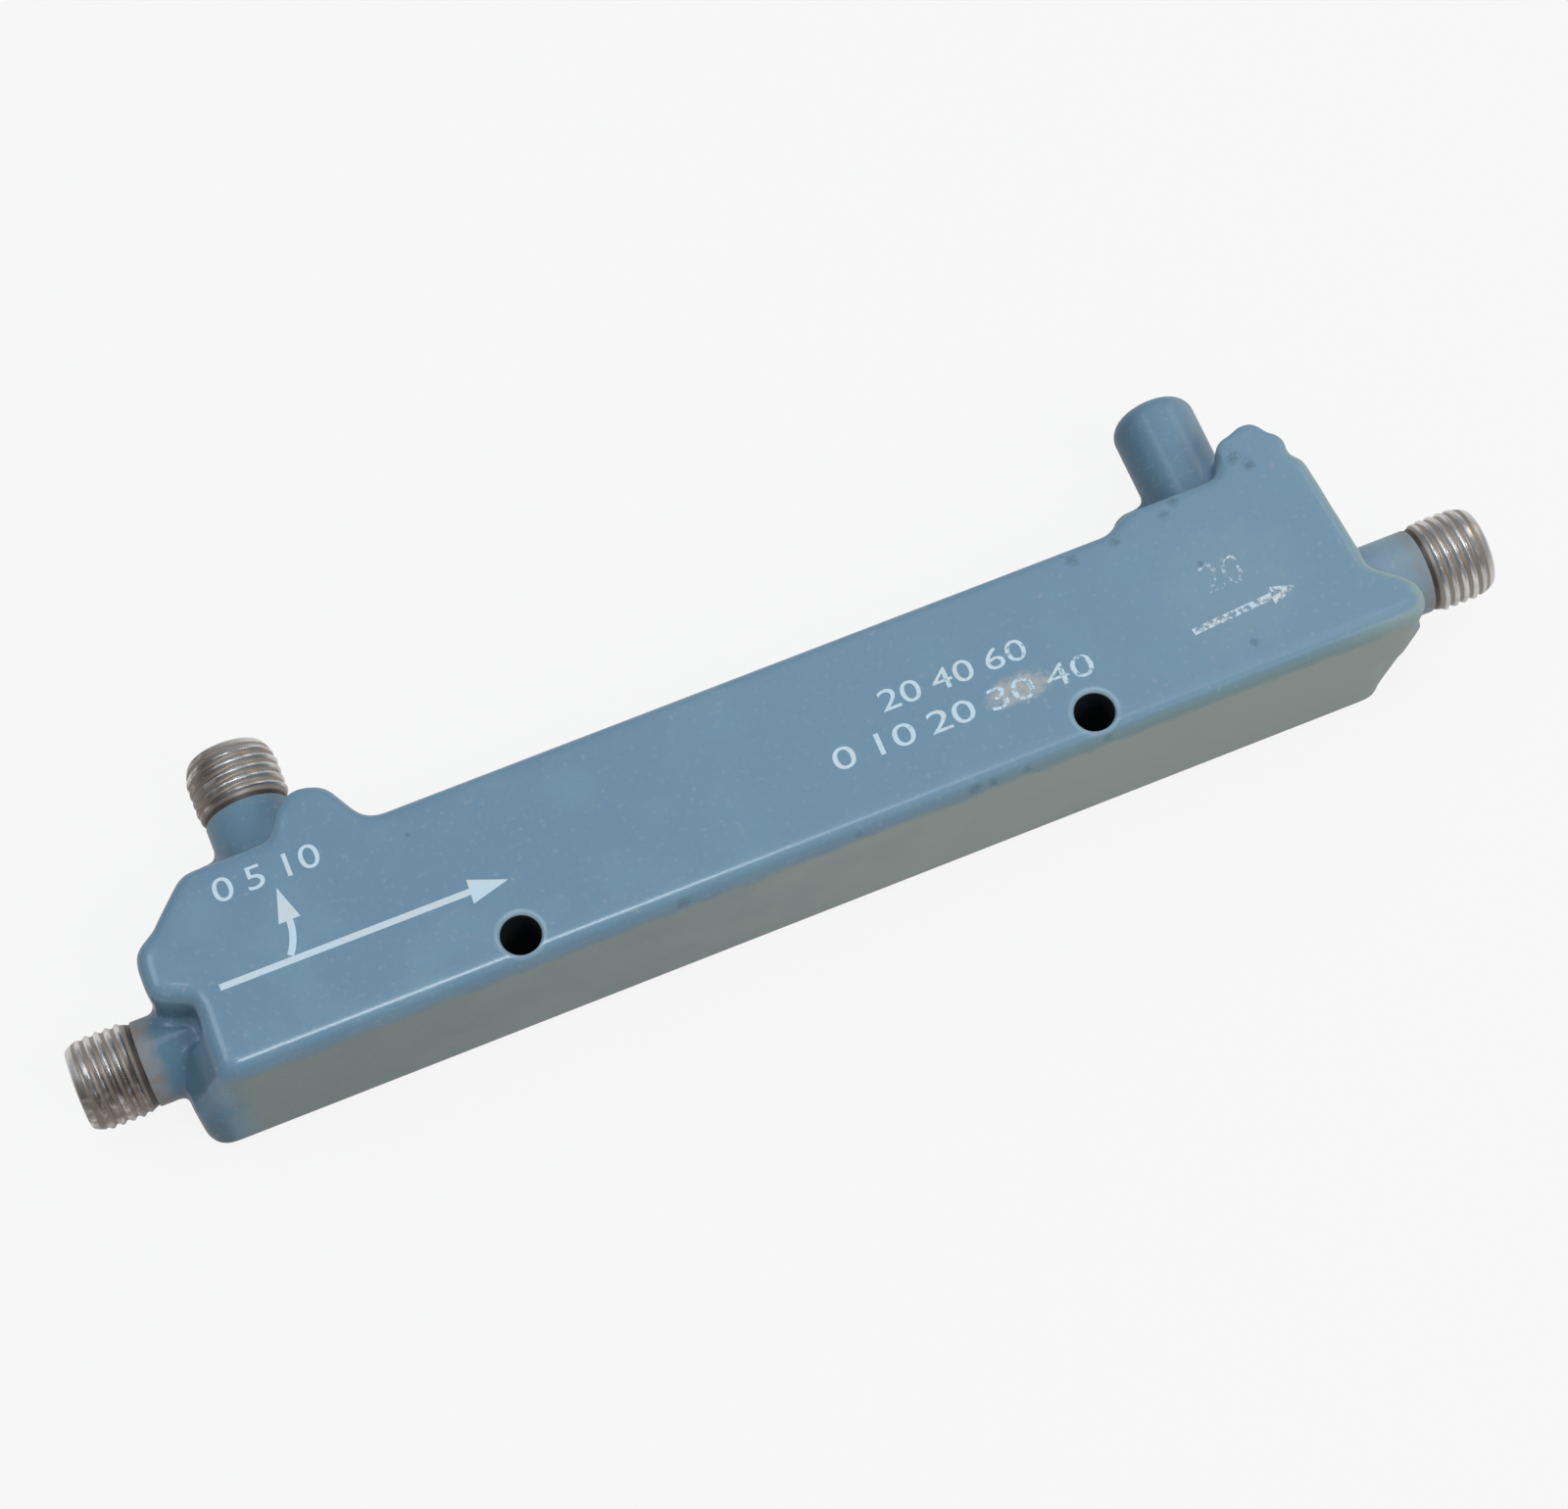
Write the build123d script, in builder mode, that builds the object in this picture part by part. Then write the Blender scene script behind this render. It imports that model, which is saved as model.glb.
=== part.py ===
from build123d import *
import os

os.makedirs("parts", exist_ok=True)

# A four-port directional coupler in coaxial-port form.
# X runs along the through line, Y towards the two side ports, Z up.
# The origin lies on the underside, below the middle of the through line.

# Housing, measured over the paint
body_height = 12.7
front_y = -5.4
back_y = 8.35
end_x = 41.4
split_z = body_height / 2
edge_break = 0.6
corner_radius = 1.1
lobe_corner_radius = 1.6

# Low pads and full lobes that carry the port necks
lobe_reach = 2.6
lobe_start = 0.6
lobe_slant = 2.2
lobe_end = 5.3
lobe_foot = 0.6
lobe_radius = 1.7
pad_reach = 1.0
pad_lead = 6.0
pad_slope = 1.6
pad_corner_cut = 2.1
end_taper = 0.6
lobe_flare = 1.9

# Ports
side_port_x = 33.9
side_pad_y = back_y + pad_reach
side_lobe_y = side_pad_y + lobe_reach
end_lobe_x = end_x + lobe_reach

# Mounting holes through both halves
mount_x = 20.2
mount_y = -3.4
mount_radius = 1.32

# Cavity for the boards
end_cavity_x = 38.0
end_cavity_front_y = -2.0
bay_back_y = 6.1
bay_width = 5.8
mid_cavity_x = 27.0
mid_cavity_front_y = -1.0
mid_cavity_back_y = 4.6
board_gap = 0.1

# Boards and strips
board_thickness = 1.5
film_thickness = 0.3
strip_thickness = 0.07
strip_width = 2.0
main_strip_y = 1.0
coupled_strip_y = 2.9
bend_inner_x = 29.0
bend_outer_x = 32.0
stack_half = board_thickness + strip_thickness + film_thickness / 2

# Coaxial jacks, measured outwards from the cavity wall
thread_radius = 3.175
thread_length = 4.1
jack_length = 12.5
neck_radius = 2.95
relief_radius = 2.75
relief_length = 0.45
collar_radius = 3.6
collar_length = 1.2
tip_chamfer = 0.45
mouth_radius = 2.3
mouth_depth = 1.9
core_radius = 2.05
reference_u = jack_length - mouth_depth
thread_start = jack_length - thread_length
relief_start = thread_start - relief_length

# Centre contacts
contact_radius = 0.635
socket_radius = 0.465
socket_depth = 3.0
slot_width = 0.15
slot_length = 2.4
tab_length = 1.9
tab_width = 0.8
tab_cover = 0.1

# Internal termination
stub_length = 12.1
stub_end_radius = 1.1
bead_length = 3.0
lead_radius = 0.45
load_bore_radius = 1.5
load_radius = 0.8
load_start = 3.4
load_end = 10.5

# Fasteners
screw_radius = 0.8
screw_clearance_radius = 0.9
head_radius = 1.45
head_sink = 0.1
driver_slot_width = 0.45
driver_slot_depth = 0.4
screw_top_z = 10.2
tapped_top_z = 10.7

screw_spots = [(-25.0, -3.2), (25.0, -3.2), (-38.9, 6.3), (38.9, 6.3)]
mount_spots = [(-mount_x, mount_y), (mount_x, mount_y)]

# The four port axes, each a plane whose local X axis points outwards
# from the cavity wall and whose local Z axis stays vertical.
left_port = Plane(origin=(-end_cavity_x, 0, split_z), x_dir=(-1, 0, 0), z_dir=(0, 0, 1))
right_port = Plane(origin=(end_cavity_x, 0, split_z), x_dir=(1, 0, 0), z_dir=(0, 0, 1))
coupled_port = Plane(
    origin=(-side_port_x, bay_back_y, split_z), x_dir=(0, 1, 0), z_dir=(0, 0, 1)
)
load_port = Plane(
    origin=(side_port_x, bay_back_y, split_z), x_dir=(0, 1, 0), z_dir=(0, 0, 1)
)
all_ports = [left_port, right_port, coupled_port, load_port]


def save(builder, label):
    """Name a finished piece and write it to its own file."""
    builder.part.label = label
    export_step(builder.part, "parts/" + label + ".step")


def round_corner(sketch, x, y, radius):
    """Round the one plan corner that lies nearest to the given point."""
    corner = sketch.vertices().sort_by_distance((x, y, split_z))[0]
    fillet(corner, radius=radius)


def section_of(port):
    """The upright plane through a port axis, X outwards and Y upwards."""
    return Plane(origin=port.origin, x_dir=port.x_dir, z_dir=-port.y_dir)


def tube_on(port, inner, outer, start, end):
    """A round tube or bar along a port axis, from start to end outwards."""
    with BuildPart() as piece:
        with BuildSketch(section_of(port)) as profile:
            with Locations(((start + end) / 2, (inner + outer) / 2)):
                Rectangle(end - start, outer - inner)
        revolve(axis=Axis(port.origin, port.x_dir))
    return piece.part


def draw_cavity_plan(inset):
    """Draw the cavity's plan in the open sketch, drawn in all round by the inset."""
    end_middle_x = (mid_cavity_x + end_cavity_x) / 2
    end_middle_y = (end_cavity_front_y + mid_cavity_back_y) / 2
    bay_middle_y = (end_cavity_front_y + bay_back_y) / 2
    with Locations((0, (mid_cavity_front_y + mid_cavity_back_y) / 2)):
        Rectangle(
            2 * (mid_cavity_x + inset),
            mid_cavity_back_y - mid_cavity_front_y - 2 * inset,
        )
    with Locations((-end_middle_x, end_middle_y), (end_middle_x, end_middle_y)):
        Rectangle(
            end_cavity_x - mid_cavity_x - 2 * inset,
            mid_cavity_back_y - end_cavity_front_y - 2 * inset,
        )
    with Locations((-side_port_x, bay_middle_y), (side_port_x, bay_middle_y)):
        Rectangle(bay_width - 2 * inset, bay_back_y - end_cavity_front_y - 2 * inset)


# Housing half, drawn as the upper one

lobe_corners = [
    (-end_x, front_y),
    (end_lobe_x, front_y),
    (end_lobe_x, -lobe_start - lobe_slant),
    (end_x, -lobe_start),
    (end_x, lobe_start),
    (end_x - end_taper, back_y),
    (side_port_x + lobe_end, side_pad_y + lobe_foot),
    (side_port_x + lobe_end, side_lobe_y),
    (side_port_x + lobe_start + lobe_slant, side_lobe_y),
    (side_port_x + lobe_start, side_pad_y),
    (side_port_x - pad_lead, side_pad_y),
    (side_port_x - pad_lead - pad_slope, back_y),
    (-side_port_x + lobe_end + lobe_flare, back_y),
    (-side_port_x + lobe_end, side_lobe_y),
    (-side_port_x + lobe_start + lobe_slant, side_lobe_y),
    (-side_port_x + lobe_start, side_pad_y),
    (-end_x + pad_corner_cut, side_pad_y),
    (-end_x, side_pad_y - pad_corner_cut),
    (-end_x - lobe_flare / 2, lobe_end + lobe_flare / 2),
    (-end_lobe_x, lobe_end),
    (-end_lobe_x, lobe_start + lobe_slant / 2),
    (-end_x, lobe_start),
]

with BuildPart() as shell_half:
    with BuildSketch(Plane.XY.offset(split_z)) as plan:
        with BuildLine():
            Polyline(*lobe_corners, close=True)
        make_face()
        round_corner(plan, -end_x, front_y, corner_radius)
        round_corner(plan, end_lobe_x, front_y, lobe_corner_radius)
        round_corner(plan, end_lobe_x, -lobe_start - lobe_slant, lobe_radius)
        round_corner(plan, side_port_x + lobe_end, side_lobe_y, corner_radius)
        round_corner(plan, side_port_x + lobe_start + lobe_slant, side_lobe_y, lobe_radius)
        round_corner(plan, side_port_x - pad_lead, side_pad_y, corner_radius)
        round_corner(plan, -side_port_x + lobe_end, side_lobe_y, lobe_radius)
        round_corner(plan, -side_port_x + lobe_start + lobe_slant, side_lobe_y, corner_radius)
        round_corner(plan, -side_port_x + lobe_end + lobe_flare, back_y, lobe_radius)
        round_corner(plan, -end_x + pad_corner_cut, side_pad_y, lobe_radius)
        round_corner(plan, -end_lobe_x, lobe_end, lobe_radius)
        round_corner(plan, -end_lobe_x, lobe_start + lobe_slant / 2, corner_radius)
    extrude(amount=split_z)
    top_rim = shell_half.faces().sort_by(Axis.Z)[-1].outer_wire().edges()
    chamfer(top_rim, length=edge_break)
    with BuildSketch(Plane.XY.offset(split_z)) as cavity:
        draw_cavity_plan(0)
    extrude(amount=stack_half, mode=Mode.SUBTRACT)
    for port in all_ports:
        add(tube_on(port, 0, neck_radius, 0, jack_length), mode=Mode.SUBTRACT)
        add(tube_on(port, 0, collar_radius, 0, collar_length), mode=Mode.SUBTRACT)
    with BuildSketch(Plane.XY.offset(split_z)) as mount_circles:
        with Locations(*mount_spots):
            Circle(mount_radius)
    extrude(amount=split_z, mode=Mode.SUBTRACT)

# Upper housing half, tapped from below

with BuildPart() as upper_housing:
    add(shell_half.part)
    with BuildSketch(Plane.XY.offset(split_z)) as tapped_circles:
        with Locations(*screw_spots):
            Circle(screw_radius)
    extrude(amount=tapped_top_z - split_z, mode=Mode.SUBTRACT)
save(upper_housing, "upper_housing")

# Lower housing half, the same casting turned over end for end

with BuildPart() as lower_housing:
    add(shell_half.part.rotate(Axis((0, 0, split_z), (0, 1, 0)), 180))
    with BuildSketch(Plane.XY) as clearance_circles:
        with Locations(*screw_spots):
            Circle(screw_clearance_radius)
    extrude(amount=split_z, mode=Mode.SUBTRACT)
    with BuildSketch(Plane.XY) as countersink_circles:
        with Locations(*screw_spots):
            Circle(head_radius + head_sink)
    extrude(amount=head_radius + head_sink - screw_radius, taper=45, mode=Mode.SUBTRACT)
save(lower_housing, "lower_housing")


# Boards, film and strips

def board_blank(bottom_z, thickness, gap):
    """A sheet in the shape of the cavity, smaller all round by the gap."""
    with BuildPart() as sheet:
        with BuildSketch(Plane.XY.offset(bottom_z)) as outline:
            draw_cavity_plan(gap)
        extrude(amount=thickness)
    return sheet.part


film_bottom_z = split_z - film_thickness / 2
film_top_z = split_z + film_thickness / 2
main_strip_z = film_bottom_z - strip_thickness
upper_board_z = film_top_z + strip_thickness
lower_board_z = main_strip_z - board_thickness

with BuildPart() as lower_board:
    add(board_blank(lower_board_z, board_thickness, board_gap))
save(lower_board, "lower_board")

with BuildPart() as upper_board:
    add(board_blank(upper_board_z, board_thickness, board_gap))
save(upper_board, "upper_board")

with BuildPart() as coupling_film:
    add(board_blank(film_bottom_z, film_thickness, board_gap))
    with BuildSketch(Plane.XY.offset(film_bottom_z)) as tab_windows:
        for side in (-1, 1):
            with Locations((side * (end_cavity_x - tab_length / 2), 0)):
                Rectangle(tab_length + 2 * tab_cover, tab_width + 4 * tab_cover)
            with Locations((side * side_port_x, bay_back_y - tab_length / 2)):
                Rectangle(tab_width + 4 * tab_cover, tab_length + 2 * tab_cover)
    extrude(amount=film_thickness, mode=Mode.SUBTRACT)
save(coupling_film, "coupling_film")

strip_end_x = end_cavity_x - board_gap
strip_half = strip_width / 2
main_outline = [
    (-strip_end_x, -strip_half),
    (-bend_outer_x, -strip_half),
    (-bend_inner_x, main_strip_y - strip_half),
    (bend_inner_x, main_strip_y - strip_half),
    (bend_outer_x, -strip_half),
    (strip_end_x, -strip_half),
    (strip_end_x, strip_half),
    (bend_outer_x, strip_half),
    (bend_inner_x, main_strip_y + strip_half),
    (-bend_inner_x, main_strip_y + strip_half),
    (-bend_outer_x, strip_half),
    (-strip_end_x, strip_half),
]
with BuildPart() as main_strip:
    with BuildSketch(Plane.XY.offset(main_strip_z)) as main_shape:
        with BuildLine():
            Polyline(*main_outline, close=True)
        make_face()
    extrude(amount=strip_thickness)
save(main_strip, "main_strip")

coupled_low_y = coupled_strip_y - strip_half
coupled_high_y = coupled_strip_y + strip_half
coupled_top_y = bay_back_y - board_gap
outer_leg_x = side_port_x + strip_half
inner_leg_x = side_port_x - strip_half
coupled_outline = [
    (-outer_leg_x, coupled_top_y),
    (-outer_leg_x, coupled_low_y + strip_half),
    (-outer_leg_x + strip_half, coupled_low_y),
    (outer_leg_x - strip_half, coupled_low_y),
    (outer_leg_x, coupled_low_y + strip_half),
    (outer_leg_x, coupled_top_y),
    (inner_leg_x, coupled_top_y),
    (inner_leg_x, coupled_high_y),
    (-inner_leg_x, coupled_high_y),
    (-inner_leg_x, coupled_top_y),
]
with BuildPart() as coupled_strip:
    with BuildSketch(Plane.XY.offset(film_top_z)) as coupled_shape:
        with BuildLine():
            Polyline(*coupled_outline, close=True)
        make_face()
    extrude(amount=strip_thickness)
save(coupled_strip, "coupled_strip")


# Threaded jacks

def jack_shell(port):
    """Steel jack body with collar, neck, thread relief and open mouth."""
    outline = [
        (0, core_radius),
        (0, collar_radius),
        (collar_length, collar_radius),
        (collar_length, neck_radius),
        (relief_start, neck_radius),
        (relief_start, relief_radius),
        (thread_start, relief_radius),
        (thread_start, thread_radius),
        (jack_length - tip_chamfer, thread_radius),
        (jack_length, thread_radius - tip_chamfer),
        (jack_length, mouth_radius),
        (reference_u, mouth_radius),
        (reference_u, core_radius),
    ]
    with BuildPart() as piece:
        with BuildSketch(section_of(port)) as profile:
            with BuildLine():
                Polyline(*outline, close=True)
            make_face()
        revolve(axis=Axis(port.origin, port.x_dir))
    return piece.part


def jack_contact(port):
    """Socket contact with crossed slots in front and a flat tab behind."""
    with BuildPart() as piece:
        add(tube_on(port, 0, contact_radius, 0, reference_u))
        add(
            tube_on(port, 0, socket_radius, reference_u - socket_depth, reference_u),
            mode=Mode.SUBTRACT,
        )
        with BuildSketch(port.offset(-film_thickness / 2)) as tab:
            with Locations((-tab_length / 2, 0)):
                Rectangle(tab_length, tab_width)
        extrude(amount=film_thickness)
        with BuildSketch(port.offset(-contact_radius)) as flat_slot:
            with Locations((reference_u - slot_length / 2, 0)):
                Rectangle(slot_length, slot_width)
        extrude(amount=2 * contact_radius, mode=Mode.SUBTRACT)
        with BuildSketch(port.offset(-slot_width / 2)) as cross_slot:
            with Locations((reference_u - slot_length / 2, 0)):
                Rectangle(slot_length, 2 * contact_radius)
        extrude(amount=slot_width, mode=Mode.SUBTRACT)
    return piece.part


with BuildPart() as input_shell:
    add(jack_shell(left_port))
save(input_shell, "input_shell")

with BuildPart() as input_insulator:
    add(tube_on(left_port, contact_radius, core_radius, 0, reference_u))
save(input_insulator, "input_insulator")

with BuildPart() as input_contact:
    add(jack_contact(left_port))
save(input_contact, "input_contact")

with BuildPart() as output_shell:
    add(jack_shell(right_port))
save(output_shell, "output_shell")

with BuildPart() as output_insulator:
    add(tube_on(right_port, contact_radius, core_radius, 0, reference_u))
save(output_insulator, "output_insulator")

with BuildPart() as output_contact:
    add(jack_contact(right_port))
save(output_contact, "output_contact")

with BuildPart() as coupled_shell:
    add(jack_shell(coupled_port))
save(coupled_shell, "coupled_shell")

with BuildPart() as coupled_insulator:
    add(tube_on(coupled_port, contact_radius, core_radius, 0, reference_u))
save(coupled_insulator, "coupled_insulator")

with BuildPart() as coupled_contact:
    add(jack_contact(coupled_port))
save(coupled_contact, "coupled_contact")

# Internal termination in the closed fourth port

stub_outline = [
    (0, core_radius),
    (0, collar_radius),
    (collar_length, collar_radius),
    (collar_length, neck_radius),
    (stub_length - stub_end_radius, neck_radius),
    (stub_length - 0.55 * stub_end_radius, neck_radius - 0.12 * stub_end_radius),
    (stub_length - 0.12 * stub_end_radius, neck_radius - 0.55 * stub_end_radius),
    (stub_length, neck_radius - stub_end_radius),
    (stub_length, 0),
    (load_end, 0),
    (load_end, load_bore_radius),
    (bead_length, load_bore_radius),
    (bead_length, core_radius),
]

with BuildPart() as termination_shell:
    with BuildSketch(section_of(load_port)) as stub_profile:
        with BuildLine():
            Polyline(*stub_outline, close=True)
        make_face()
    revolve(axis=Axis(load_port.origin, load_port.x_dir))
save(termination_shell, "termination_shell")

with BuildPart() as termination_bead:
    add(tube_on(load_port, lead_radius, core_radius, 0, bead_length))
save(termination_bead, "termination_bead")

with BuildPart() as termination_contact:
    add(tube_on(load_port, 0, lead_radius, 0, load_start))
    with BuildSketch(load_port.offset(-film_thickness / 2)) as load_tab:
        with Locations((-tab_length / 2, 0)):
            Rectangle(tab_length, tab_width)
    extrude(amount=film_thickness)
save(termination_contact, "termination_contact")

with BuildPart() as load_resistor:
    add(tube_on(load_port, 0, load_radius, load_start, load_end))
save(load_resistor, "load_resistor")

# Countersunk fasteners from below

with BuildPart() as assembly_screws:
    with BuildSketch(Plane.XY.offset(head_sink)) as head_circles:
        with Locations(*screw_spots):
            Circle(head_radius)
    extrude(amount=head_radius - screw_radius, taper=45)
    with BuildSketch(Plane.XY.offset(head_sink)) as shank_circles:
        with Locations(*screw_spots):
            Circle(screw_radius)
    extrude(amount=screw_top_z - head_sink)
    with BuildSketch(Plane.XY.offset(head_sink)) as driver_slots:
        with Locations(*screw_spots):
            Rectangle(2 * head_radius, driver_slot_width)
    extrude(amount=driver_slot_depth, mode=Mode.SUBTRACT)
save(assembly_screws, "assembly_screws")
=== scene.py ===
# %% [markdown]
# The object is a small directional coupler: a painted metal bar with a threaded
# coaxial jack at each end, a third jack on its back and a closed stub beside it.
# The solid model is loaded first as a fixed frame, and everything made below is
# placed from its measures, so nothing has to be fitted by eye afterwards.

# %% Load the frame
import math
import bpy
import bmesh
from mathutils import Matrix, Vector


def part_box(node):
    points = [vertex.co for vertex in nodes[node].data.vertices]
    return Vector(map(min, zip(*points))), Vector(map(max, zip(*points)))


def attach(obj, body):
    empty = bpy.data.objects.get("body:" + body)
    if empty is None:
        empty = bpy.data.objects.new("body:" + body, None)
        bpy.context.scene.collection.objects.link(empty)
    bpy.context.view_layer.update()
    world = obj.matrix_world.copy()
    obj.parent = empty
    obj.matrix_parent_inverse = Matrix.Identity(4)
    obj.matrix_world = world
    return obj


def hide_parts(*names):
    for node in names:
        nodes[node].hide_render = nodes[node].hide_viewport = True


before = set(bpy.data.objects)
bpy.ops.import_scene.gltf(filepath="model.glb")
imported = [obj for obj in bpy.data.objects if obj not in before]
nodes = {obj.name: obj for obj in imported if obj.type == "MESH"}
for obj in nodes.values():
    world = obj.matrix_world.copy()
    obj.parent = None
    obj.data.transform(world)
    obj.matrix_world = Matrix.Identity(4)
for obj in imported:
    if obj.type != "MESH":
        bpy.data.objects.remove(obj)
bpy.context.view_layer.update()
scene = bpy.context.scene
MM = 0.001
print("solid model has", len(nodes), "pieces")

# %% [markdown]
# The camera stands where the photographer stood: in front of the bar, well above
# it and close to it. It is aimed straight at the bar with an unshifted lens, so
# that the bar also stays in the middle of the frame in views from other sides.

# %% Camera
PHOTO_WIDTH = 1600
FOCAL_PIXELS = 4133.4
CAMERA_PLACE = Vector((-30.78, -96.04, 257.92)) * MM
CAMERA_TURN = (22.608, 1.851, -22.035)

camera_data = bpy.data.cameras.new("photo_camera")
camera_data.sensor_fit = "HORIZONTAL"
camera_data.sensor_width = 36.0
camera_data.lens = FOCAL_PIXELS / PHOTO_WIDTH * camera_data.sensor_width
camera_data.clip_start = 0.01
camera = bpy.data.objects.new("photo_camera", camera_data)
camera.location = CAMERA_PLACE
camera.rotation_euler = [math.radians(angle) for angle in CAMERA_TURN]
scene.collection.objects.link(camera)
scene.camera = camera
print("lens", round(camera_data.lens, 1), "mm")

# %% [markdown]
# Soft studio light: a dim pale sky from all round and two large softboxes on the
# right, so that everything that faces left is darker, as in the photograph. The
# softboxes are kept out of reflections. Gloss shows smaller lamps instead: two
# long windows overhead draw the thin line on the front edge, and the others put
# bright spots on the steel, bluish on the ridge of each jack and warm below it.

# %% Light and floor
scene.view_settings.view_transform = "Standard"


def add_panel(name, place, aim, width, height, watts, colour):
    """A rectangular area lamp at a place, facing a point, all in metres."""
    data = bpy.data.lights.new(name, "AREA")
    data.shape = "RECTANGLE"
    data.size = width
    data.size_y = height
    data.energy = watts
    data.color = colour
    lamp = bpy.data.objects.new(name, data)
    lamp.location = place
    lamp.rotation_euler = (Vector(aim) - Vector(place)).to_track_quat("-Z", "Y").to_euler()
    scene.collection.objects.link(lamp)
    return lamp


AIM_HEIGHT = 0.006
DAYLIGHT = (0.85, 0.93, 1.0)
WARM_LIGHT = (1.0, 0.82, 0.62)
# Name, place, the x it is aimed at, width, height, watts and colour, in metres.
SOFTBOXES = [
    ("front_softbox", (0.40, -0.55, 0.75), 0.0, 0.5, 0.4, 4.2, (1.0, 0.98, 0.95)),
    ("back_softbox", (0.35, 0.60, 0.75), 0.0, 0.5, 0.4, 2.2, (0.93, 0.97, 1.0)),
]
GLOSS_LAMPS = [
    ("window", (-0.025, -0.03, 0.98), -0.025, 0.23, 0.17, 1.9, DAYLIGHT),
    ("window", (0.20, -0.03, 0.98), 0.20, 0.20, 0.17, 0.35, DAYLIGHT),
    ("ridge_spot", (-0.135, 0.15, 0.97), 0.0, 0.07, 0.06, 0.14, DAYLIGHT),
    ("ridge_spot", (0.31, 0.20, 0.90), 0.0, 0.07, 0.06, 0.14, DAYLIGHT),
    ("left_window", (-0.42, 0.35, 0.84), 0.0, 0.40, 0.25, 1.1, (0.85, 0.92, 1.0)),
    ("warm_lamp", (0.31, -0.56, 0.79), 0.0, 0.09, 0.09, 0.30, (1.0, 0.82, 0.60)),
    ("warm_wall", (0.72, 0.38, 0.58), 0.0, 0.25, 0.30, 0.70, WARM_LIGHT),
]
for name, place, aim_x, width, height, watts, colour in SOFTBOXES + GLOSS_LAMPS:
    lamp = add_panel(name, place, (aim_x, 0.0, AIM_HEIGHT), width, height, watts, colour)
    lamp.visible_glossy = "softbox" not in name

# The sky is dim as a light, but a camera that looks above the floor sees it pale.
SKY_LIGHT = 0.30
SKY_SEEN = 0.96
world = bpy.data.worlds.new("studio_sky")
world.use_nodes = True
sky_tree = world.node_tree
sky = sky_tree.nodes["Background"]
sky.inputs["Color"].default_value = (0.93, 0.96, 1.0, 1.0)
sky_path = sky_tree.nodes.new("ShaderNodeLightPath")
sky_level = sky_tree.nodes.new("ShaderNodeMapRange")
sky_level.inputs["To Min"].default_value = SKY_LIGHT
sky_level.inputs["To Max"].default_value = SKY_SEEN
sky_tree.links.new(sky_path.outputs["Is Camera Ray"], sky_level.inputs["Value"])
sky_tree.links.new(sky_level.outputs[0], sky.inputs["Strength"])
scene.world = world

FLOOR_HALF = 1.5
bm = bmesh.new()
bmesh.ops.create_grid(bm, x_segments=1, y_segments=1, size=FLOOR_HALF)
floor_mesh = bpy.data.meshes.new("floor")
bm.to_mesh(floor_mesh)
bm.free()
floor = bpy.data.objects.new("floor", floor_mesh)
scene.collection.objects.link(floor)
print("lamps and floor placed")

# %% [markdown]
# Materials are drawn as small sums of noise, distance and colour. Wiring every
# Math node by hand hides the sum, so one small class wraps an output socket and
# lets Python's own signs add the Math nodes: 1 - mask means what it says.

# %% A socket that can be reckoned with
class Wire:
    """An output socket of a material, with arithmetic that adds Math nodes."""

    def __init__(self, tree, socket):
        self.tree = tree
        self.socket = socket

    def make(self, kind, settings=None, values=None, output=0):
        """Add a node of a kind, with settings first and then sockets' values or links."""
        node = self.tree.nodes.new(kind)
        for name, value in (settings or {}).items():
            setattr(node, name, value)
        for name, value in (values or {}).items():
            if isinstance(value, Wire):
                self.tree.links.new(value.socket, node.inputs[name])
            else:
                node.inputs[name].default_value = value
        return Wire(self.tree, node.outputs[output])

    def reckon(self, operation, first, second):
        return self.make("ShaderNodeMath", {"operation": operation}, {0: first, 1: second})

    def __add__(self, other):
        return self.reckon("ADD", self, other)

    def __radd__(self, other):
        return self.reckon("ADD", other, self)

    def __sub__(self, other):
        return self.reckon("SUBTRACT", self, other)

    def __rsub__(self, other):
        return self.reckon("SUBTRACT", other, self)

    def __mul__(self, other):
        return self.reckon("MULTIPLY", self, other)

    def __rmul__(self, other):
        return self.reckon("MULTIPLY", other, self)

    def __pow__(self, other):
        return self.reckon("POWER", self, other)

    def at_least(self, other):
        return self.reckon("MAXIMUM", self, other)

    def at_most(self, other):
        return self.reckon("MINIMUM", self, other)

    def rise(self, low, high):
        """0 below low and 1 above high, with a soft step between. It falls if low > high."""
        top, bottom = (1.0, 0.0) if low < high else (0.0, 1.0)
        return self.make(
            "ShaderNodeMapRange",
            {"interpolation_type": "SMOOTHSTEP"},
            {0: self, 1: min(low, high), 2: max(low, high), 3: bottom, 4: top},
        )


def blend(mask, under, over):
    """One colour over another where the mask is 1."""
    return mask.make(
        "ShaderNodeMix", {"data_type": "RGBA"}, {"Factor": mask, 6: under, 7: over}, output=2
    )


print("shader arithmetic ready")

# %% [markdown]
# Every finish starts the same way: an empty material with a shader, and the
# surface point in millimetres. Millimetres keep the sizes of specks and
# scratches readable, because a noise of scale 2 then has waves of half a millimetre.

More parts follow.
